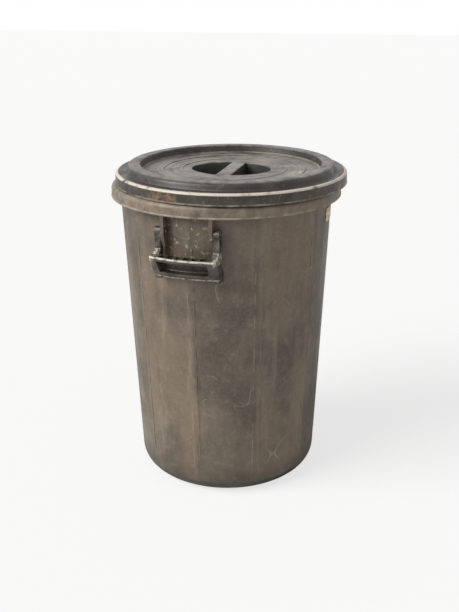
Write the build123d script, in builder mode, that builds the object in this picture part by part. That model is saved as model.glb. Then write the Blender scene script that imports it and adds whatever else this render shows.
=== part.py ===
from build123d import *
import os
from math import asin, atan2, cos, degrees, radians, sin, sqrt, tan

# A round plastic trash can: a tapered bin with a stepped rim, a loose lift-off lid,
# two swinging carrying handles and a blank paper sticker.
# Millimetres. The bin stands on z = 0 with its axis on Z. One handle hangs in front,
# on -Y, and its twin behind, on +Y.

os.makedirs("parts", exist_ok=True)

# Bin wall and base
mouth_height = 736.0  # top of the lip that carries the lid
rim_radius = 265.0  # outside of the rim band
rim_overhang = 18.547  # the band stands out this far past the wall at the mouth
wall_draft = 2.416  # degrees from vertical, wider towards the mouth
bin_wall = 3.5
base_thickness = 4.5
base_rounding = 43.0
lip_rounding = 1.2

# Rim band around the mouth
lip_height = 24.0  # of the lip above the band
rim_height = 27.0
rim_wall = 3.5
rim_rounding = 10.0
rim_bead_height = 3.6
rim_bead_depth = 0.9

# Upright ribs on the outside of the wall
rib_count = 10
rib_width = 15.5
rib_relief = 0.8
rib_bottom = 62.0
rib_end_gap = 60.0  # between the ribs' upper ends and the rim band
rib_run_out = 12.0
rib_rounding = 0.5

# Pivots and the bracket plates that hold them
pivot_drop = 62.0  # from the top of the rim band to the pivot line
pivot_setback = 17.5  # from the face of the rim band in to the pivot line
bracket_gap = 101.0  # clear width between the two plates of one handle
bracket_thickness = 8.0
bracket_drop = 37.0  # from the pivot line to the plates' lower end
bracket_toe = 9.0  # how far the lower end tapers back
bracket_taper_height = 30.0
rim_setback = 1.0  # bracket edge behind the face of the rim band
pin_radius = 5.0
pin_clearance = 0.08
pin_end_play = 0.4
pin_head_radius = 6.4
pin_head_length = 3.6

# Handle
arm_side_gap = 1.0  # between a bracket and the arm beside it
arm_thickness = 13.0
arm_depth = 14.0
knuckle_radius = 9.5
grip_overhang = 32.0  # the grip's front edge stands out this far past the rim band
grip_drop = 47.0  # from the pivot line to the top of the grip
grip_height = 48.0
grip_top_depth = 29.0
grip_bottom_depth = 17.0
grip_lean = 24.0  # how far the front face leans back towards its foot
cheek_overhang = 3.0  # the grip's ends stand proud of the arms
cheek_rounding = 8.0
grip_edge_rounding = 2.6
grip_wall = 4.0
top_lip = 9.0
bottom_lip = 12.5
lip_groove_width = 2.2
lip_groove_depth = 1.2
top_pocket_count = 6
top_pocket_rib = 5.0
top_pocket_depth = 5.5
gusset_height = 10.0
gusset_reach = 11.0
foot_drop = 9.0  # the arms end below the grip
heel_height = 14.0
heel_clearance = 0.4
arm_recess_depth = 2.5
arm_recess_width = 7.5
arm_recess_length = 38.0

# Lid
lid_overhang = 1.0  # of the skirt past the rim band
lid_wall = 3.0
seat_gap = 0.3
skirt_drop = 23.6  # from the underside that rests on the lip to the skirt's edge
skirt_bead_height = 2.8
skirt_bead_depth = 0.8
lid_corner = 6.0
flange_width = 24.0  # from the skirt in to the foot of the ring
ring_flank = 5.0  # how far the ring's outer side leans in
ring_crest = 28.0  # width of its top
ring_inner_flank = 4.0
ring_height = 18.7  # above the seat
ring_shoulder = 10.0
panel_height = 2.0  # above the seat
panel_bands = ((0.752, 0.840), (0.545, 0.634))  # raised bands, as shares of the panel's radius
band_relief = 1.3
well_length_share = 0.904  # of the panel's radius, as are the next two
well_width_share = 0.737
well_end_share = 0.246
well_depth = 32.0
well_draft = 8.0
well_edge_rounding = 2.5
well_floor_rounding = 5.0
finger_bar = 33.0
lid_shift = 11.5  # the lid sits off centre, within its play on the lip
lid_shift_angle = 19.3  # degrees from +X
lid_turn = 4.3

# Sticker
sticker_thickness = 0.3
glue_thickness = 0.1
sticker_width = 100.0
sticker_height = 32.0
sticker_drop = 51.0  # from the rim band to the sticker's lower edge
sticker_angle = 7.3  # degrees from +X, at the middle of the sticker


def wall_radius(height):
    """Outside radius of the tapered wall at a height above the floor."""
    return rim_radius - rim_overhang - (mouth_height - height) * tan(radians(wall_draft))


def radial_plane(angle):
    """Upright plane through the axis: local x runs outwards at the angle, local y up."""
    outwards = Vector(cos(radians(angle)), sin(radians(angle)), 0)
    return Plane(origin=(0, 0, 0), x_dir=outwards, z_dir=outwards.cross(Vector(0, 0, 1)))


def side_plane(facing, x):
    """Plane square to X: local x runs out from the axis towards the handle, local y up."""
    return Plane(origin=(x, 0, 0), x_dir=(0, facing, 0), z_dir=(facing, 0, 0))


def oval(length, width, end_radius):
    """Outline of an oval of four tangent arcs, long side on local x."""
    end_x = length / 2 - end_radius
    half = width / 2
    side_radius = (end_x**2 + half**2 - end_radius**2) / (2 * (half - end_radius))
    side_y = side_radius - half
    turn = degrees(atan2(side_y, end_x))
    for direction in (0, 180):
        x = end_x * cos(radians(direction))
        y = side_y * cos(radians(direction))
        CenterArc((x, 0), end_radius, direction - turn, 2 * turn)
        CenterArc((0, -y), side_radius, direction + turn, 180 - 2 * turn)


# Places that follow from the sizes above
rim_top = mouth_height - lip_height
rim_bottom = rim_top - rim_height
rib_top = rim_bottom - rib_end_gap
pivot_height = rim_top - pivot_drop
pivot_reach = rim_radius - pivot_setback
bracket_bottom = pivot_height - bracket_drop
bracket_inner = bracket_gap / 2
bracket_middle = bracket_inner + bracket_thickness / 2
bracket_outer = bracket_inner + bracket_thickness
bracket_reach = sqrt(rim_radius**2 - bracket_outer**2) - rim_setback
arm_inner = bracket_outer + arm_side_gap
arm_outer = arm_inner + arm_thickness
cheek_outer = arm_outer + cheek_overhang
grip_reach = rim_radius + grip_overhang
grip_top = pivot_height - grip_drop
grip_bottom = grip_top - grip_height
foot = grip_bottom - foot_drop
lid_radius = rim_radius + lid_overhang
ring_foot_radius = lid_radius - flange_width
ring_crest_radius = ring_foot_radius - ring_flank
ring_inner_radius = ring_crest_radius - ring_crest
panel_radius = ring_inner_radius - ring_inner_flank
well_length = well_length_share * panel_radius
well_width = well_width_share * panel_radius
well_end_radius = well_end_share * panel_radius
sticker_bottom = rim_bottom - sticker_drop


# Bracket plates: one profile, set twice in front and twice behind
plate_top = rim_top - rim_wall / 2
plate_root = wall_radius(bracket_bottom) - 2 * bracket_thickness
with BuildPart() as brackets:
    with BuildSketch(side_plane(-1, bracket_middle)):
        with BuildLine():
            FilletPolyline(
                (plate_root, plate_top),
                (bracket_reach - rim_rounding, plate_top),
                (bracket_reach, plate_top - rim_rounding),
                (bracket_reach, bracket_bottom + bracket_taper_height),
                (bracket_reach - bracket_toe, bracket_bottom),
                (plate_root, bracket_bottom),
                radius=[0, 0, 0, 2 * bracket_toe, bracket_toe / 2, 0],
                close=True,
            )
        make_face()
        with Locations((pivot_reach, pivot_height)):
            Circle(pin_radius + pin_clearance, mode=Mode.SUBTRACT)
    extrude(amount=bracket_thickness / 2, both=True)
    mirror(about=Plane.YZ)
    mirror(about=Plane.XZ)

# Rib: a shallow strip that fades into the wall at both ends
with BuildPart() as rib:
    with BuildSketch(radial_plane(0)):
        with BuildLine():
            Polyline(
                (wall_radius(rib_bottom) - rib_relief, rib_bottom),
                (wall_radius(rib_bottom + rib_run_out) + rib_relief, rib_bottom + rib_run_out),
                (wall_radius(rib_top - rib_run_out) + rib_relief, rib_top - rib_run_out),
                (wall_radius(rib_top) - rib_relief, rib_top),
                close=True,
            )
        make_face()
    extrude(amount=rib_width / 2, both=True)
    long_edges = rib.edges().filter_by(lambda edge: edge.length > (rib_top - rib_bottom) / 2)
    fillet(long_edges.sort_by(Axis.X)[-2:], radius=rib_rounding)

# Bin: the wall, rim, ribs and brackets are one moulding
with BuildPart() as bin_body:
    with BuildSketch(radial_plane(0)):
        with BuildLine():
            FilletPolyline(
                (0, 0),
                (wall_radius(0), 0),
                (wall_radius(mouth_height), mouth_height),
                (0, mouth_height),
                radius=[0, base_rounding, lip_rounding, 0],
                close=True,
            )
        make_face()
    revolve(axis=Axis.Z)
    with BuildSketch(radial_plane(0)):
        rim_root = wall_radius(rim_top) - bin_wall / 2
        bead_radius = rim_radius + rim_bead_depth
        with BuildLine():
            FilletPolyline(
                (rim_root, rim_top),
                (rim_radius, rim_top),
                (rim_radius, rim_bottom + rim_bead_height),
                (bead_radius, rim_bottom + rim_bead_height - rim_bead_depth),
                (bead_radius, rim_bottom),
                (rim_radius - rim_wall, rim_bottom),
                (rim_radius - rim_wall, rim_top - rim_wall),
                (rim_root, rim_top - rim_wall),
                radius=[0, rim_rounding, 0, rim_bead_depth / 2, rim_bead_depth, 0, rim_rounding - rim_wall, 0],
                close=True,
            )
        make_face()
    revolve(axis=Axis.Z)
    with PolarLocations(0, rib_count, start_angle=-90):
        add(rib.part)
    add(brackets.part)
    with BuildSketch(radial_plane(0)):
        with BuildLine():
            FilletPolyline(
                (0, base_thickness),
                (wall_radius(base_thickness) - bin_wall, base_thickness),
                (wall_radius(mouth_height + bin_wall) - bin_wall, mouth_height + bin_wall),
                (0, mouth_height + bin_wall),
                radius=[0, base_rounding - bin_wall, 0, 0],
                close=True,
            )
        make_face()
    revolve(axis=Axis.Z, mode=Mode.SUBTRACT)
bin_body.part.label = "bin_body"
export_step(bin_body.part, "parts/bin_body.step")

# Lid: a thin shell with a skirt, a raised ring and a dished panel, turned and pushed
# off centre as it lies on the lip
lid_place = Plane(
    origin=(
        lid_shift * cos(radians(lid_shift_angle)),
        lid_shift * sin(radians(lid_shift_angle)),
        mouth_height + seat_gap,
    ),
    x_dir=(cos(radians(lid_turn)), sin(radians(lid_turn)), 0),
    z_dir=(0, 0, 1),
)
lid_section = Plane(origin=lid_place.origin, x_dir=lid_place.x_dir, z_dir=-lid_place.y_dir)
lid_axis = Axis(lid_place.origin, (0, 0, 1))
skirt_bead_radius = lid_radius + skirt_bead_depth
with BuildPart() as lid:
    with BuildSketch(lid_section):
        with BuildLine():
            FilletPolyline(
                (0, -skirt_drop),
                (skirt_bead_radius, -skirt_drop),
                (skirt_bead_radius, skirt_bead_height - skirt_drop),
                (lid_radius, skirt_bead_height + skirt_bead_depth - skirt_drop),
                (lid_radius, lid_wall),
                (ring_foot_radius, lid_wall),
                (ring_crest_radius, ring_height),
                (ring_inner_radius, ring_height),
                (panel_radius, panel_height),
                (0, panel_height),
                radius=[0, 0.6, 0.4, 0, lid_corner, lid_wall, ring_shoulder, lid_wall, lid_wall, 0],
                close=True,
            )
        make_face()
    revolve(axis=lid_axis)
    with BuildSketch(lid_section):
        for inner_share, outer_share in panel_bands:
            band_inner = inner_share * panel_radius
            band_outer = outer_share * panel_radius
            with BuildLine():
                FilletPolyline(
                    (band_inner, 0),
                    (band_outer, 0),
                    (band_outer - band_relief / 2, panel_height + band_relief),
                    (band_inner + band_relief / 2, panel_height + band_relief),
                    radius=[0, 0, band_relief / 2, band_relief / 2],
                    close=True,
                )
            make_face()
    revolve(axis=lid_axis)
    with BuildSketch(lid_section):
        with BuildLine():
            FilletPolyline(
                (0, -skirt_drop - lid_wall),
                (lid_radius - lid_wall, -skirt_drop - lid_wall),
                (lid_radius - lid_wall, 0),
                (ring_foot_radius - lid_wall, 0),
                (ring_crest_radius - lid_wall, ring_height - lid_wall),
                (ring_inner_radius + lid_wall, ring_height - lid_wall),
                (panel_radius + lid_wall, panel_height - lid_wall),
                (0, panel_height - lid_wall),
                radius=[0, 0, lid_corner - lid_wall, lid_wall, ring_shoulder - lid_wall, 1, lid_wall, 0],
                close=True,
            )
        make_face()
    revolve(axis=lid_axis, mode=Mode.SUBTRACT)
    # The oval finger well hangs below the panel; a hollow bar crosses it
    with BuildSketch(lid_place.offset(panel_height - lid_wall / 2)):
        with BuildLine():
            oval(well_length + 2 * lid_wall, well_width + 2 * lid_wall, well_end_radius + lid_wall)
        make_face()
    extrude(amount=lid_wall / 2 - well_depth - lid_wall, taper=well_draft)
    with BuildSketch(lid_place.offset(panel_height)):
        with BuildLine():
            oval(well_length, well_width, well_end_radius)
        make_face()
        Rectangle(finger_bar, well_width, mode=Mode.SUBTRACT)
    extrude(amount=-well_depth, taper=well_draft, mode=Mode.SUBTRACT)
    with BuildSketch(lid_place.offset(panel_height - lid_wall)):
        Rectangle(finger_bar - 2 * lid_wall, well_width - 8 * lid_wall)
    extrude(amount=-well_depth - lid_wall, mode=Mode.SUBTRACT)
    panel_level = lid_place.origin.Z + panel_height
    panel_middle = Vector(lid_place.origin.X, lid_place.origin.Y, panel_level)
    panel_edges = lid.edges().filter_by_position(Axis.Z, panel_level - 0.01, panel_level + 0.01)
    well_edges = panel_edges.filter_by(
        lambda edge: max((edge @ t - panel_middle).length for t in (0, 0.5, 1)) < well_length / 2 + lid_wall
    )
    fillet(well_edges, radius=well_edge_rounding)
    floor_level = panel_level - well_depth
    floor_edges = lid.edges().filter_by_position(Axis.Z, floor_level - 0.01, floor_level + 0.01)
    fillet(floor_edges, radius=well_floor_rounding)
lid.part.label = "lid"
export_step(lid.part, "parts/lid.step")


def drop_handle(facing):
    """One moulded handle at rest on its heels; facing is -1 in front and 1 behind."""
    middle = 90 * facing
    arm_front = pivot_reach + arm_depth / 2
    arm_rear = pivot_reach - arm_depth / 2
    arm_middle = (arm_inner + arm_outer) / 2
    heel_top = foot + heel_height
    heel_root = pivot_reach - 3 * arm_depth
    foot_reach = grip_reach - grip_lean
    cheek_angle = degrees(asin(cheek_outer / foot_reach)) + grip_wall
    window_angle = degrees(asin(bracket_outer / grip_reach))
    window_top = grip_top - top_lip
    window_bottom = grip_bottom + bottom_lip
    groove_height = (grip_bottom + window_bottom) / 2

    def front_face(height):
        """Reach of the leaning front face at a height."""
        return grip_reach - (grip_top - height) * grip_lean / grip_height

    def rear_face(height):
        """Reach of the grip's rear face at a height."""
        share = (grip_top - height) / grip_height
        return front_face(height) - grip_top_depth - share * (grip_bottom_depth - grip_top_depth)

    with BuildPart() as handle:
        # Grip: a curved bar that follows the bin's wall, trimmed square at its ends
        with BuildSketch(radial_plane(middle - cheek_angle)):
            with BuildLine():
                Polyline(
                    (rear_face(grip_top), grip_top),
                    (grip_reach, grip_top),
                    (foot_reach, grip_bottom),
                    (rear_face(grip_bottom), grip_bottom),
                    close=True,
                )
            make_face()
        revolve(axis=Axis.Z, revolution_arc=2 * cheek_angle)
        with BuildSketch(Plane.XY.offset(foot)):
            Rectangle(2 * cheek_outer, 4 * grip_reach)
        extrude(amount=pivot_height - foot, mode=Mode.INTERSECT)
        corners = handle.edges().filter_by(
            lambda edge: abs(edge.center().Z - (grip_top + grip_bottom) / 2) < 1
            and abs(edge.center().Y) > foot_reach - grip_bottom_depth / 2
        )
        fillet(corners, radius=cheek_rounding)
        front_edges = handle.edges().filter_by(
            lambda edge: abs(edge.tangent_at(0.5).Z) < 0.1
            and edge.center().Y * facing > sqrt(grip_reach**2 - cheek_outer**2) - grip_lean - grip_wall
        )
        fillet(front_edges, radius=grip_edge_rounding)
        # Front window: the bar is a channel, open towards the hand
        with BuildSketch(radial_plane(middle - window_angle)):
            with BuildLine():
                FilletPolyline(
                    (front_face(window_top) + grip_wall, window_top),
                    (rear_face(window_top) + grip_wall, window_top),
                    (rear_face(window_bottom) + grip_wall, window_bottom),
                    (front_face(window_bottom) + grip_wall, window_bottom),
                    radius=[0, grip_wall, grip_wall, 0],
                    close=True,
                )
            make_face()
        revolve(axis=Axis.Z, revolution_arc=2 * window_angle, mode=Mode.SUBTRACT)
        # Groove along the bottom lip
        with BuildSketch(radial_plane(middle - window_angle)):
            with Locations((front_face(groove_height), groove_height)):
                Rectangle(2 * lip_groove_depth, lip_groove_width)
        revolve(axis=Axis.Z, revolution_arc=2 * window_angle, mode=Mode.SUBTRACT)
        # Pockets between cross ribs in the top of the bar
        pocket_step = 2 * window_angle / top_pocket_count
        rib_angle = degrees(top_pocket_rib / grip_reach)
        for index in range(top_pocket_count):
            with BuildSketch(radial_plane(middle - window_angle + index * pocket_step + rib_angle / 2)):
                with BuildLine():
                    Polyline(
                        (rear_face(grip_top) + grip_wall, grip_top),
                        (grip_reach - 2 * grip_wall, grip_top),
                        (grip_reach - 2 * grip_wall, grip_top - top_pocket_depth),
                        (rear_face(grip_top) + grip_wall, grip_top - top_pocket_depth),
                        close=True,
                    )
                make_face()
            revolve(axis=Axis.Z, revolution_arc=pocket_step - rib_angle, mode=Mode.SUBTRACT)
        # Arms with their knuckles, gussets and heels
        for side in (-1, 1):
            with BuildSketch(side_plane(facing, side * arm_middle)):
                with BuildLine():
                    FilletPolyline(
                        (arm_rear, pivot_height),
                        (arm_rear, heel_top + heel_height),
                        (heel_root, heel_top),
                        (heel_root, foot),
                        (arm_front, foot),
                        (front_face(grip_bottom) - 2 * grip_wall, grip_bottom + grip_wall),
                        (front_face(grip_top) - 4 * grip_wall, grip_top - grip_wall),
                        (arm_front + gusset_reach, grip_top),
                        (arm_front, grip_top + gusset_height),
                        (arm_front, pivot_height),
                        radius=[0, heel_height, 0, 0, arm_depth / 3, 0, 0, 0, gusset_height / 2, 0],
                        close=True,
                    )
                make_face()
                with Locations((pivot_reach, pivot_height)):
                    Circle(knuckle_radius)
            extrude(amount=arm_thickness / 2, both=True)
            with BuildSketch(side_plane(facing, side * arm_outer)):
                with Locations((pivot_reach, (pivot_height + grip_top + gusset_height) / 2)):
                    SlotOverall(arm_recess_length, arm_recess_width, rotation=90)
            extrude(amount=arm_recess_depth, both=True, mode=Mode.SUBTRACT)
            # Stub pin and its snap head
            tip = bracket_inner - pin_end_play
            with BuildSketch(Plane.XZ.offset(-facing * pivot_reach)):
                with BuildLine():
                    Polyline(
                        (side * arm_middle, pivot_height),
                        (side * arm_middle, pivot_height + pin_radius),
                        (side * tip, pivot_height + pin_radius),
                        (side * tip, pivot_height + pin_head_radius),
                        (side * (tip - pin_head_length / 2), pivot_height + pin_head_radius),
                        (side * (tip - pin_head_length), pivot_height + pin_radius - 1),
                        (side * (tip - pin_head_length), pivot_height),
                        close=True,
                    )
                make_face()
            revolve(axis=Axis((0, facing * pivot_reach, pivot_height), (1, 0, 0)))
        # The heels are hollowed to lie against the tapered wall
        with BuildSketch(radial_plane(0)):
            with BuildLine():
                Polyline(
                    (0, foot - heel_height),
                    (wall_radius(foot - heel_height) + heel_clearance, foot - heel_height),
                    (wall_radius(grip_top) + heel_clearance, grip_top),
                    (0, grip_top),
                    close=True,
                )
            make_face()
        revolve(axis=Axis.Z, mode=Mode.SUBTRACT)
    return handle.part


for handle_name, handle_facing in (("front_handle", -1), ("back_handle", 1)):
    handle_part = drop_handle(handle_facing)
    handle_part.label = handle_name
    export_step(handle_part, f"parts/{handle_name}.step")

# Sticker: a blank paper patch wrapped on the wall below the rim
sticker_span = degrees(sticker_width / wall_radius(sticker_bottom))
sticker_top = sticker_bottom + sticker_height
sticker_outside = glue_thickness + sticker_thickness
with BuildPart() as blank_sticker:
    with BuildSketch(radial_plane(sticker_angle - sticker_span / 2)):
        with BuildLine():
            Polyline(
                (wall_radius(sticker_bottom) + glue_thickness, sticker_bottom),
                (wall_radius(sticker_bottom) + sticker_outside, sticker_bottom),
                (wall_radius(sticker_top) + sticker_outside, sticker_top),
                (wall_radius(sticker_top) + glue_thickness, sticker_top),
                close=True,
            )
        make_face()
    revolve(axis=Axis.Z, revolution_arc=sticker_span)
blank_sticker.part.label = "blank_sticker"
export_step(blank_sticker.part, "parts/blank_sticker.step")
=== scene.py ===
import math

import bmesh
import bpy
from mathutils import Matrix, Vector


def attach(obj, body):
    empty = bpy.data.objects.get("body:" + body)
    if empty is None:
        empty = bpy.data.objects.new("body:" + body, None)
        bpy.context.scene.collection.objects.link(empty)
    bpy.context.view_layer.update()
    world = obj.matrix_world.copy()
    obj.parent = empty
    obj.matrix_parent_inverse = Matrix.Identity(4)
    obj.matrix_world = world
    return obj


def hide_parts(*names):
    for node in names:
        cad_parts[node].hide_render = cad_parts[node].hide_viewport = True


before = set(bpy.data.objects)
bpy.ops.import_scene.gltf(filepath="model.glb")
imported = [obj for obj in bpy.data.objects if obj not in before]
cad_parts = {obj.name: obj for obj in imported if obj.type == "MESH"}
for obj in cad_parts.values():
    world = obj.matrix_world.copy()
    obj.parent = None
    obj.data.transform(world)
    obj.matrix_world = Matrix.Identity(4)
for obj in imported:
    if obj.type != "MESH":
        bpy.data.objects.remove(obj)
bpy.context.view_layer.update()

# Bin
# The bin is one thin tapered moulding of black high-density polyethylene, with a stepped
# rim band, ten shallow ribs and two pairs of bracket plates. Years outdoors have faded it
# to a chalky brown-grey, with rubbed panels, scratches, runs and splashes.
floor_radius = 0.2154  # the wall's outside, carried down to the floor
wall_slope = math.tan(math.radians(2.416))
rib_pitch = math.radians(36)
first_rib = math.radians(-90)
rib_half_width = 7.75 / 225  # radians, at the middle of the wall
rib_foot, rib_head = 0.085, 0.600
band_foot = 0.685  # underside of the rim band
splash_centre = (-0.012, -0.242, 0.640)  # on the wall between the front bracket plates


def linear(hex_colour):
    """A linear RGBA colour from an sRGB hex value."""
    parts = [int(hex_colour[i : i + 2], 16) / 255 for i in (1, 3, 5)]
    return [c / 12.92 if c <= 0.04045 else ((c + 0.055) / 1.055) ** 2.4 for c in parts] + [1.0]


def node(tree, kind, inputs=None, out=0, **settings):
    """Adds a node, sets or links its inputs, and gives one output or, for None, the node itself."""
    made = tree.nodes.new("ShaderNode" + kind)
    for name, value in settings.items():
        setattr(made, name, value)
    for key, value in (inputs or {}).items():
        if isinstance(value, bpy.types.NodeSocket):
            tree.links.new(value, made.inputs[key])
        else:
            made.inputs[key].default_value = value
    return made if out is None else made.outputs[out]


def new_finish(name):
    """A material with its tree, its shader and the Object coordinates that its patterns lie on."""
    material = bpy.data.materials.new(name)
    material.use_nodes = True
    tree = material.node_tree
    return material, tree, tree.nodes["Principled BSDF"], node(tree, "TexCoord", out=3)


def dress(name, material):
    """A CAD node keeps its shape and takes the material in every slot."""
    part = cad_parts[name]
    if not part.material_slots:
        part.data.materials.append(material)
    for slot in part.material_slots:
        slot.material = material


def patches(tree, place, millimetres, low, high, detail=3.0, rough=0.55, stretch=(1, 1, 1), shift=(0, 0, 0)):
    """Cloudy patches of a real size: 0 outside them and 1 inside."""
    spot = node(tree, "Mapping", {"Vector": place, "Scale": stretch, "Location": shift})
    cloud = node(
        tree,
        "TexNoise",
        {"Vector": spot, "Scale": 1000 / millimetres, "Detail": detail, "Roughness": rough},
    )
    return node(
        tree, "MapRange", {"Value": cloud, "From Min": low, "From Max": high}, interpolation_type="SMOOTHSTEP"
    )


def span(tree, value, start, end, soft):
    """1 where a value lies from start to end, falling to 0 over a soft width at both."""
    rise = node(
        tree,
        "MapRange",
        {"Value": value, "From Min": start - soft, "From Max": start},
        interpolation_type="SMOOTHSTEP",
    )
    fall = node(
        tree,
        "MapRange",
        {"Value": value, "From Min": end, "From Max": end + soft, "To Min": 1.0, "To Max": 0.0},
        interpolation_type="SMOOTHSTEP",
    )
    return node(tree, "Math", {0: rise, 1: fall}, operation="MULTIPLY")


def together(tree, *shares):
    """Where all the shares hold at once: their product."""
    total = shares[0]
    for share in shares[1:]:
        total = node(tree, "Math", {0: total, 1: share}, operation="MULTIPLY")
    return total


def tint(tree, under, over, *shares):
    """The colour over laid on the colour under, by the product of the shares."""
    return node(tree, "Mix", {0: together(tree, *shares), 6: under, 7: over}, out=2, data_type="RGBA")


def scratches(tree, place, millimetres, width, shift, stretch=(1, 1, 1)):
    """Thin curved lines, broken up: the contour lines of a cloud, where a second cloud allows them."""
    spot = node(tree, "Mapping", {"Vector": place, "Scale": stretch, "Location": shift})
    cloud = node(
        tree,
        "TexNoise",
        {"Vector": spot, "Scale": 1000 / millimetres, "Detail": 1.5, "Roughness": 0.4},
    )
    level = node(tree, "Math", {0: cloud, 1: 0.5}, operation="SUBTRACT")
    level = node(tree, "Math", {0: level}, operation="ABSOLUTE")
    line = node(
        tree,
        "MapRange",
        {"Value": level, "From Min": 0.0, "From Max": width, "To Min": 1.0, "To Max": 0.0},
    )
    allowed = patches(tree, place, millimetres * 0.7, 0.54, 0.62, 2, 0.5, shift=(5, shift[0], 2))
    return together(tree, line, allowed)


def specks(tree, place, pitch, size, share, shift=(0, 0, 0)):
    """Small round specks: one cell in so many, each a spot of the given part of its cell."""
    spot = node(tree, "Mapping", {"Vector": place, "Location": shift})
    cells = node(tree, "TexVoronoi", {"Vector": spot, "Scale": 1000 / pitch}, out=None)
    chosen = node(tree, "Math", {0: cells.outputs[1], 1: 1 - share}, operation="GREATER_THAN")
    spot = node(
        tree,
        "MapRange",
        {"Value": cells.outputs[0], "From Min": size * 0.6, "From Max": size, "To Min": 1.0, "To Max": 0.0},
    )
    return together(tree, chosen, spot)


# Polyethylene, injection moulded in black and faded outdoors: a matt chalky skin over a
# darker body, rubbed in upright bands between the ribs, and darkened by painted shade at the foot.
bin_plastic, tree, shader, place = new_finish("faded_black_polyethylene")
body_dark = linear("#4a4239")
body_grey = linear("#665b4e")
chalk = linear("#968976")
rubbed_brown = linear("#7f6c59")
# Dark brown-grey, for dirt runs and patches and for the painted shade at the foot.
dark_dirt_and_shade = linear("#352e27")
lime_white = linear("#b9b6a6")
axes = node(tree, "SeparateXYZ", {"Vector": place}, out=None)
x, y, z = axes.outputs
level_place = node(tree, "Mapping", {"Vector": place, "Scale": (1, 1, 0)})
radius = node(tree, "VectorMath", {0: level_place}, out=1, operation="LENGTH")
wall_here = node(tree, "Math", {0: z, 1: wall_slope, 2: floor_radius}, operation="MULTIPLY_ADD")
depth = node(tree, "Math", {0: radius, 1: wall_here}, operation="SUBTRACT")
outside = node(tree, "MapRange", {"Value": depth, "From Min": -0.0024, "From Max": -0.0012})
inside = node(tree, "Math", {0: 1.0, 1: outside}, operation="SUBTRACT")
angle = node(tree, "Math", {0: y, 1: x}, operation="ARCTAN2")
from_first = node(tree, "Math", {0: angle, 1: first_rib}, operation="SUBTRACT")
from_rib = node(tree, "Math", {0: from_first, 1: rib_pitch / 2}, operation="PINGPONG")
facet = node(tree, "Math", {0: from_first, 1: math.pi / rib_pitch}, operation="MULTIPLY")
facet = node(tree, "Math", {0: facet}, operation="SINE")
facet = node(
    tree, "MapRange", {"Value": facet, "From Min": 0.12, "From Max": -0.12}, interpolation_type="SMOOTHSTEP"
)
ribs_high = span(tree, z, rib_foot, rib_head, 0.03)
rib_edge = span(tree, from_rib, rib_half_width * 0.93, rib_half_width * 1.05, rib_half_width * 0.12)
rim = node(tree, "MapRange", {"Value": depth, "From Min": 0.006, "From Max": 0.012})
above_band_foot = node(
    tree, "MapRange", {"Value": z, "From Min": band_foot - 0.002, "From Max": band_foot + 0.001}
)
rim = together(tree, rim, above_band_foot)
scuffs = scratches(tree, place, 95, 0.0045, (1.3, 0.2, 0.7))
long_scratches = scratches(tree, place, 170, 0.0022, (4.1, 2.2, 0.1), (1, 1, 0.6))
grain = patches(tree, place, 5, 0.3, 0.75, 3, 0.7)
colour = tint(tree, body_dark, body_grey, patches(tree, place, 130, 0.36, 0.62, 5, 0.6))
rubbed = patches(tree, place, 190, 0.36, 0.55, 3, 0.6, shift=(2, 0, 0))
colour = tint(tree, colour, rubbed_brown, facet, rubbed, 0.5)
pale_runs = patches(tree, place, 34, 0.50, 0.78, 5, 0.65, (1, 1, 0.14))
colour = tint(tree, colour, chalk, pale_runs, 0.42)
dark_runs = patches(tree, place, 20, 0.54, 0.80, 5, 0.65, (1, 1, 0.12), (7, 1, 0))
colour = tint(tree, colour, dark_dirt_and_shade, dark_runs, 0.45)
colour = tint(tree, colour, chalk, patches(tree, place, 16, 0.5, 0.8, 6, 0.65), 0.35)
colour = tint(tree, colour, dark_dirt_and_shade, patches(tree, place, 9, 0.55, 0.8, 5, 0.65, shift=(1, 5, 2)), 0.45)
colour = tint(tree, colour, chalk, grain, 0.16)
edge_wear = patches(tree, place, 40, 0.42, 0.6, 3, shift=(0, 3, 1))
colour = tint(tree, colour, chalk, rib_edge, ribs_high, edge_wear, 0.6)
colour = tint(tree, colour, chalk, scuffs, 0.75)
colour = tint(tree, colour, chalk, long_scratches, 0.7)
colour = tint(tree, colour, chalk, rim, patches(tree, place, 22, 0.35, 0.7, 4, shift=(3, 3, 3)), 0.5)
rim_edge = span(tree, z, band_foot - 0.001, band_foot + 0.0045, 0.0006)
colour = tint(tree, colour, linear("#aca295"), rim, rim_edge, patches(tree, place, 30, 0.35, 0.6, 3), 0.5)
# Painted shade: the wall darkens towards its foot, broken up in patches.
foot_shade = node(tree, "MapRange", {"Value": z, "From Min": 0.085, "From Max": 0.01})
colour = tint(tree, colour, dark_dirt_and_shade, foot_shade, patches(tree, place, 35, 0.2, 0.5, 4), 0.8)
speck_areas = patches(tree, place, 160, 0.45, 0.6, 2)
colour = tint(tree, colour, lime_white, specks(tree, place, 13, 0.10, 0.07), speck_areas, 0.6)
splash_spot = node(tree, "VectorMath", {0: place, 1: splash_centre}, out=1, operation="DISTANCE")
splash = node(tree, "MapRange", {"Value": splash_spot, "From Min": 0.075, "From Max": 0.03})
drops = patches(tree, place, 11, 0.60, 0.68, 3, 0.5, shift=(0, 0, 4))
colour = tint(tree, colour, lime_white, splash, drops, 0.85)
colour = tint(tree, colour, linear("#2f2b27"), inside, 0.75)
tree.links.new(colour, shader.inputs["Base Color"])
gloss = patches(tree, place, 60, 0.3, 0.7, 4, 0.6, (1, 1, 0.2), (9, 0, 0))
roughness = node(tree, "MapRange", {"Value": gloss, "To Min": 0.42, "To Max": 0.62})
tree.links.new(roughness, shader.inputs["Roughness"])
shader.inputs["Specular IOR Level"].default_value = 0.5
shader.inputs["IOR"].default_value = 1.5
waves = node(tree, "TexNoise", {"Vector": place, "Scale": 1000 / 120, "Detail": 1.0})
swell = node(tree, "Bump", {"Height": waves, "Distance": 0.004, "Strength": 0.6})
marks = node(tree, "Math", {0: grain, 1: scuffs}, operation="SUBTRACT")
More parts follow.
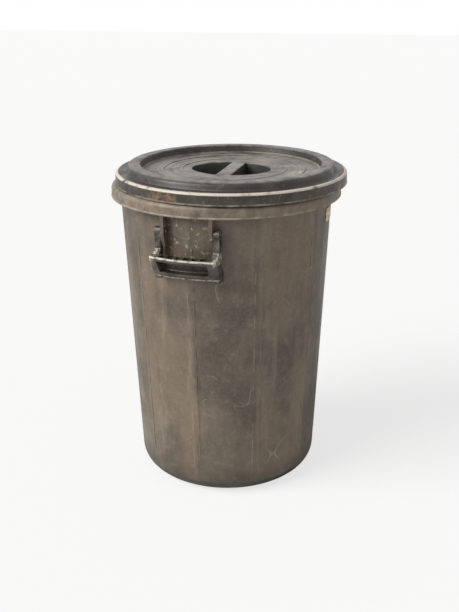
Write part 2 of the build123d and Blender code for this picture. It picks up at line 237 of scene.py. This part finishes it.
skin = node(tree, "Bump", {"Height": marks, "Distance": 0.00025, "Strength": 0.6, "Normal": swell})
tree.links.new(skin, shader.inputs["Normal"])
dress("bin_body", bin_plastic)

# Sticker
# A blank paper label, stuck on the wall below the rim at the bin's right side. It is sun
# bleached, a little wrinkled, and lifts along its edges.
label_width, label_height, label_bottom = 0.100, 0.032, 0.634
label_middle = math.radians(7.3)
label_lift = 0.00022
label_wrinkle = 0.0007


def wall_radius(height):
    """Outside radius of the tapered wall at a height."""
    return floor_radius + height * wall_slope


label_mesh = bmesh.new()
bmesh.ops.create_grid(label_mesh, x_segments=60, y_segments=16, size=0.5)
for vertex in label_mesh.verts:
    across, up = vertex.co.x, vertex.co.y
    edge = max(abs(across) * 2, abs(up) * 2) ** 6
    wave = math.sin(across * 23 + up * 5) * math.sin(up * 9 - across * 7)
    height = label_bottom + (up + 0.5) * label_height
    reach = wall_radius(height) + label_lift + label_wrinkle * (0.35 * (wave + 1) + edge * (0.6 + 0.4 * wave))
    turn = label_middle + across * label_width / wall_radius(label_bottom)
    vertex.co = (reach * math.cos(turn), reach * math.sin(turn), height)
label_data = bpy.data.meshes.new("label")
bmesh.ops.recalc_face_normals(label_mesh, faces=label_mesh.faces)
label_mesh.to_mesh(label_data)
label_mesh.free()
label = bpy.data.objects.new("label", label_data)
bpy.context.scene.collection.objects.link(label)
paper = label.modifiers.new("paper", "SOLIDIFY")
paper.thickness = 0.0002
for face in label_data.polygons:
    face.use_smooth = True
label_paper, tree, shader, place = new_finish("bleached_label_paper")
colour = tint(tree, linear("#e8ded0"), linear("#c9a988"), patches(tree, place, 14, 0.45, 0.62, 4))
colour = tint(tree, colour, linear("#8d8071"), patches(tree, place, 5, 0.58, 0.7, 4), 0.7)
tree.links.new(colour, shader.inputs["Base Color"])
shader.inputs["Roughness"].default_value = 0.75
label_data.materials.append(label_paper)
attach(label, "bin")
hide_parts("blank_sticker")

# Handles
# Two drop handles moulded in black polypropylene, snapped into the bracket plates on stub
# pins. Hands have polished them, and their edges are worn to a dusty grey; the top lips and
# upper corners also carry a painted highlight.
grip_reach, grip_half_width = 0.297, 0.0755
grip_top, grip_foot = 0.603, 0.555

# Polypropylene, injection moulded: smoother and glossier than the bin, darker where it
# is handled, with thin pale wear on the lips and corners, and a painted highlight along
# the top lip and on the upper corners.
handle_plastic, tree, shader, place = new_finish("black_polypropylene")
# Near-white, for pale wear and specks and for the painted highlight on the top lip and corners.
pale_wear_and_highlight = linear("#d2c7b7")
dust = linear("#6f675e")
axes = node(tree, "SeparateXYZ", {"Vector": place}, out=None)
x, y, z = axes.outputs
level_place = node(tree, "Mapping", {"Vector": place, "Scale": (1, 1, 0)})
out_from_axis = node(tree, "VectorMath", {0: level_place}, out=1, operation="LENGTH")
side = node(tree, "Math", {0: x}, operation="ABSOLUTE")
colour = tint(tree, linear("#2b2722"), linear("#524a41"), patches(tree, place, 24, 0.35, 0.65, 4))
# Top lip: a pale line along the rounded outer edge, partly rubbed wear and partly a painted highlight.
near_top = span(tree, z, grip_top - 0.0025, grip_top + 0.007, 0.0015)
top_lip_wear_and_highlight = together(tree, near_top, span(tree, out_from_axis, grip_reach - 0.0055, grip_reach + 0.003, 0.002))
colour = tint(tree, colour, pale_wear_and_highlight, top_lip_wear_and_highlight, patches(tree, place, 9, 0.30, 0.52, 4), 0.9)
near_foot = span(tree, z, grip_foot - 0.005, grip_foot + 0.0025, 0.0015)
foot_front = span(tree, out_from_axis, grip_reach - 0.027, grip_reach + 0.003, 0.002)
foot_edge = together(tree, near_foot, foot_front)
foot_wear = patches(tree, place, 9, 0.35, 0.6, 4, shift=(1, 1, 0))
colour = tint(tree, colour, pale_wear_and_highlight, foot_edge, foot_wear, 0.6)
# Upper corners: pale patches, partly rubbed wear and partly a painted highlight.
near_end = span(tree, side, grip_half_width - 0.009, grip_half_width + 0.0045, 0.003)
corner_wear_and_highlight = together(tree, near_end, span(tree, z, grip_top - 0.009, grip_top + 0.007, 0.004))
colour = tint(tree, colour, pale_wear_and_highlight, corner_wear_and_highlight, patches(tree, place, 8, 0.4, 0.6, 4, shift=(2, 0, 0)), 0.8)
above_grip = span(tree, z, grip_top + 0.007, grip_top + 0.067, 0.004)
knuckles = together(tree, above_grip, patches(tree, place, 12, 0.45, 0.65, 4))
colour = tint(tree, colour, dust, knuckles, 0.7)
colour = tint(tree, colour, dust, patches(tree, place, 7, 0.55, 0.72, 5, shift=(0, 2, 0)), 0.5)
colour = tint(tree, colour, pale_wear_and_highlight, specks(tree, place, 6, 0.13, 0.12), 0.5)
tree.links.new(colour, shader.inputs["Base Color"])
polish = patches(tree, place, 15, 0.35, 0.7, 4)
roughness = node(tree, "MapRange", {"Value": polish, "To Min": 0.24, "To Max": 0.44})
tree.links.new(roughness, shader.inputs["Roughness"])
skin = patches(tree, place, 3, 0.3, 0.7, 2)
skin = node(tree, "Bump", {"Height": skin, "Distance": 0.0002, "Strength": 0.5})
tree.links.new(skin, shader.inputs["Normal"])
dress("front_handle", handle_plastic)
dress("back_handle", handle_plastic)

# Lid
# The lid is a thin moulding of the same black polyethylene: a skirt round the lip, a
# raised ring, a dished panel with two low bands, and an oval well under a finger bar. It
# lies loose, a little off centre. Dust and dried rain lie on its upper faces.
lid_centre = (0.01085, 0.0038, 0)
lid_radius, lid_foot = 0.266, 0.7127
flange_top, crest_top, panel_top = 0.7393, 0.755, 0.7383
panel_radius, well_radius = 0.205, 0.094
ring_crest = (0.210, 0.233)  # inner and outer radius of the flat top
smear_centre = (0.181, -0.010, 0.740)

# Polyethylene with a satin skin: dark on its sides, dusty on top, pale on rubbed edges, with a painted
# highlight on the ring's crest.
lid_plastic, tree, shader, place = new_finish("dusty_black_polyethylene")
lid_dark = linear("#221e19")
lid_grey = linear("#3a332b")
# Pale grey, for dust and for the painted highlight on the ring's crest.
lid_dust_and_highlight = linear("#9c938a")
lid_worn = linear("#ddd2c3")
rust_stain = linear("#8a6c4e")
mud = linear("#bdb09a")
z = node(tree, "SeparateXYZ", {"Vector": place}, out=2)
flat = node(tree, "Mapping", {"Vector": place, "Scale": (1, 1, 0), "Location": [-c for c in lid_centre]})
radius = node(tree, "VectorMath", {0: flat}, out=1, operation="LENGTH")
axes = node(tree, "SeparateXYZ", {"Vector": flat}, out=None)
angle = node(tree, "Math", {0: axes.outputs[1], 1: axes.outputs[0]}, operation="ARCTAN2")
panel_high = span(tree, z, panel_top - 0.0008, panel_top + 0.0017, 0.0008)
panel = together(tree, span(tree, radius, 0.0, panel_radius, 0.002), panel_high)
rings = node(tree, "TexNoise", {"W": radius, "Scale": 1000 / 9, "Detail": 3.0}, noise_dimensions="1D")
rings = node(tree, "MapRange", {"Value": rings, "From Min": 0.35, "From Max": 0.65})
colour = tint(tree, lid_dark, lid_grey, patches(tree, place, 55, 0.35, 0.65, 5, 0.6))
settled_dust = patches(tree, place, 45, 0.25, 0.6, 5, 0.6, shift=(4, 0, 0))
colour = tint(tree, colour, lid_dust_and_highlight, panel, settled_dust, 0.75)
colour = tint(tree, colour, lid_dark, panel, rings, 0.45)
colour = tint(tree, colour, lid_dust_and_highlight, patches(tree, place, 12, 0.55, 0.8, 6, 0.65), 0.4)
# Flat top of the ring: paler, partly rubbed dust and partly a painted highlight.
crest_high = span(tree, z, crest_top - 0.002, crest_top + 0.002, 0.001)
crest_rub_and_highlight = together(tree, span(tree, radius, *ring_crest, 0.004), crest_high)
colour = tint(tree, colour, lid_dust_and_highlight, crest_rub_and_highlight, patches(tree, place, 30, 0.3, 0.6, 4, shift=(0, 6, 0)), 0.45)
flange_high = span(tree, z, flange_top - 0.0038, flange_top + 0.0027, 0.0015)
flange_edge = together(tree, span(tree, radius, lid_radius - 0.0055, lid_radius + 0.004, 0.002), flange_high)
flange_wear = patches(tree, place, 35, 0.25, 0.5, 5, 0.6, shift=(0, 0, 5))
colour = tint(tree, colour, lid_worn, flange_edge, flange_wear, 0.85)
bead_high = span(tree, z, lid_foot - 0.0002, lid_foot + 0.0033, 0.0006)
bead = together(tree, span(tree, radius, lid_radius - 0.0005, lid_radius + 0.004, 0.0004), bead_high)
colour = tint(tree, colour, lid_dust_and_highlight, bead, patches(tree, place, 25, 0.35, 0.6, 4), 0.6)
skirt_high = span(tree, z, lid_foot - 0.0007, flange_top - 0.0038, 0.001)
skirt = together(tree, span(tree, radius, lid_radius - 0.0025, lid_radius + 0.004, 0.001), skirt_high)
skirt_haze = patches(tree, place, 26, 0.42, 0.75, 4, shift=(8, 0, 0))
colour = tint(tree, colour, linear("#5f5447"), skirt, skirt_haze, 0.5)
stain = together(tree, skirt, span(tree, angle, math.radians(-109), math.radians(-99), 0.09))
colour = tint(tree, colour, rust_stain, stain, patches(tree, place, 12, 0.38, 0.62, 5, 0.65), 0.65)
smear = node(tree, "VectorMath", {0: place, 1: smear_centre}, out=1, operation="DISTANCE")
smear = node(tree, "MapRange", {"Value": smear, "From Min": 0.040, "From Max": 0.012})
colour = tint(tree, colour, mud, smear, patches(tree, place, 9, 0.42, 0.56, 4, 0.6, shift=(0, 3, 0)), 0.9)
lines = scratches(tree, place, 60, 0.005, (2.0, 0.4, 0.0))
colour = tint(tree, colour, lid_dust_and_highlight, lines, 0.6)
colour = tint(tree, colour, lid_worn, specks(tree, place, 13, 0.09, 0.15), 0.5)
well_deep = span(tree, z, panel_top - 0.0483, panel_top - 0.0023, 0.001)
well = together(tree, span(tree, radius, 0.0, well_radius, 0.002), well_deep)
colour = tint(tree, colour, linear("#2c2e2b"), well, 0.75)
tree.links.new(colour, shader.inputs["Base Color"])
satin = patches(tree, place, 40, 0.3, 0.7, 4, shift=(0, 9, 0))
roughness = node(tree, "MapRange", {"Value": satin, "To Min": 0.34, "To Max": 0.52})
tree.links.new(roughness, shader.inputs["Roughness"])
waves = node(tree, "TexNoise", {"Vector": place, "Scale": 1000 / 90, "Detail": 1.0})
swell = node(tree, "Bump", {"Height": waves, "Distance": 0.003, "Strength": 0.5})
grain = patches(tree, place, 4, 0.3, 0.75, 3, 0.7)
skin = node(tree, "Bump", {"Height": grain, "Distance": 0.00025, "Strength": 0.5, "Normal": swell})
tree.links.new(skin, shader.inputs["Normal"])
dress("lid", lid_plastic)

# Stage
# A pale floor that keeps the bin's soft shadow, under a white sky and one broad lamp from
# the upper left. The sky lights the bin dimly, and is white where it is seen or mirrored.
sky_light, sky_seen = 0.30, 1.0
floor_glow = 0.72  # share of its own white that the floor shows to the lens
floor_mesh = bmesh.new()
bmesh.ops.create_grid(floor_mesh, x_segments=1, y_segments=1, size=20)
floor_data = bpy.data.meshes.new("floor")
floor_mesh.to_mesh(floor_data)
floor_mesh.free()
floor = bpy.data.objects.new("floor", floor_data)
bpy.context.scene.collection.objects.link(floor)
floor_white = bpy.data.materials.new("white_floor")
floor_white.use_nodes = True
tree = floor_white.node_tree
paint = tree.nodes["Principled BSDF"]
paint.inputs["Base Color"].default_value = linear("#f2f1ef")
paint.inputs["Roughness"].default_value = 0.95
paint.inputs["Specular IOR Level"].default_value = 0.1
rays = node(tree, "LightPath", out=None)
glow = node(tree, "Emission", {"Color": (1, 1, 1, 1), "Strength": 1.0})
seen = node(tree, "Math", {0: rays.outputs["Is Camera Ray"], 1: floor_glow}, operation="MULTIPLY")
both = node(tree, "MixShader", {0: seen, 1: paint.outputs[0], 2: glow})
tree.links.new(both, tree.nodes["Material Output"].inputs["Surface"])
floor_data.materials.append(floor_white)

world = bpy.data.worlds.new("studio")
bpy.context.scene.world = world
world.use_nodes = True
tree = world.node_tree
rays = node(tree, "LightPath", out=None)
seen = node(
    tree, "Math", {0: rays.outputs["Is Camera Ray"], 1: rays.outputs["Is Glossy Ray"]}, operation="MAXIMUM"
)
seen = node(tree, "Math", {0: seen, 1: rays.outputs["Is Transmission Ray"]}, operation="MAXIMUM")
sky = node(tree, "MapRange", {"Value": seen, "To Min": sky_light, "To Max": sky_seen})
tree.nodes["Background"].inputs["Color"].default_value = (1, 1, 1, 1)
tree.links.new(sky, tree.nodes["Background"].inputs["Strength"])

view_turn = math.radians(19.3)
to_right = Vector((math.cos(view_turn), math.sin(view_turn), 0))
to_back = Vector((-math.sin(view_turn), math.cos(view_turn), 0))
lamp_data = bpy.data.lights.new("broad_lamp", "SUN")
lamp_data.energy = 3.2
lamp_data.angle = math.radians(40)
lamp = bpy.data.objects.new("broad_lamp", lamp_data)
shine = to_right * 0.86 + to_back * 0.36 + Vector((0, 0, -0.70))
lamp.rotation_euler = shine.to_track_quat("-Z", "Y").to_euler()
bpy.context.scene.collection.objects.link(lamp)

# The lens stands at the photograph's place: 1.95 m out, 19 degrees round from the front
# handle and 1.13 m up, looking 20.6 degrees down.
lens_out, lens_up, look_down = 1.9499, 1.1323, math.radians(20.63)
camera_data = bpy.data.cameras.new("camera")
camera_data.lens = 50.0
camera_data.sensor_width = 36.0
camera = bpy.data.objects.new("camera", camera_data)
turn = Matrix.Rotation(view_turn - math.radians(0.17), 4, "Z")
turn = turn @ Matrix.Rotation(math.pi / 2 - look_down, 4, "X") @ Matrix.Rotation(math.radians(-0.34), 4, "Z")
camera.matrix_world = Matrix.Translation(-lens_out * to_back + Vector((0, 0, lens_up))) @ turn
bpy.context.scene.collection.objects.link(camera)
bpy.context.scene.camera = camera
bpy.context.scene.view_settings.view_transform = "Standard"
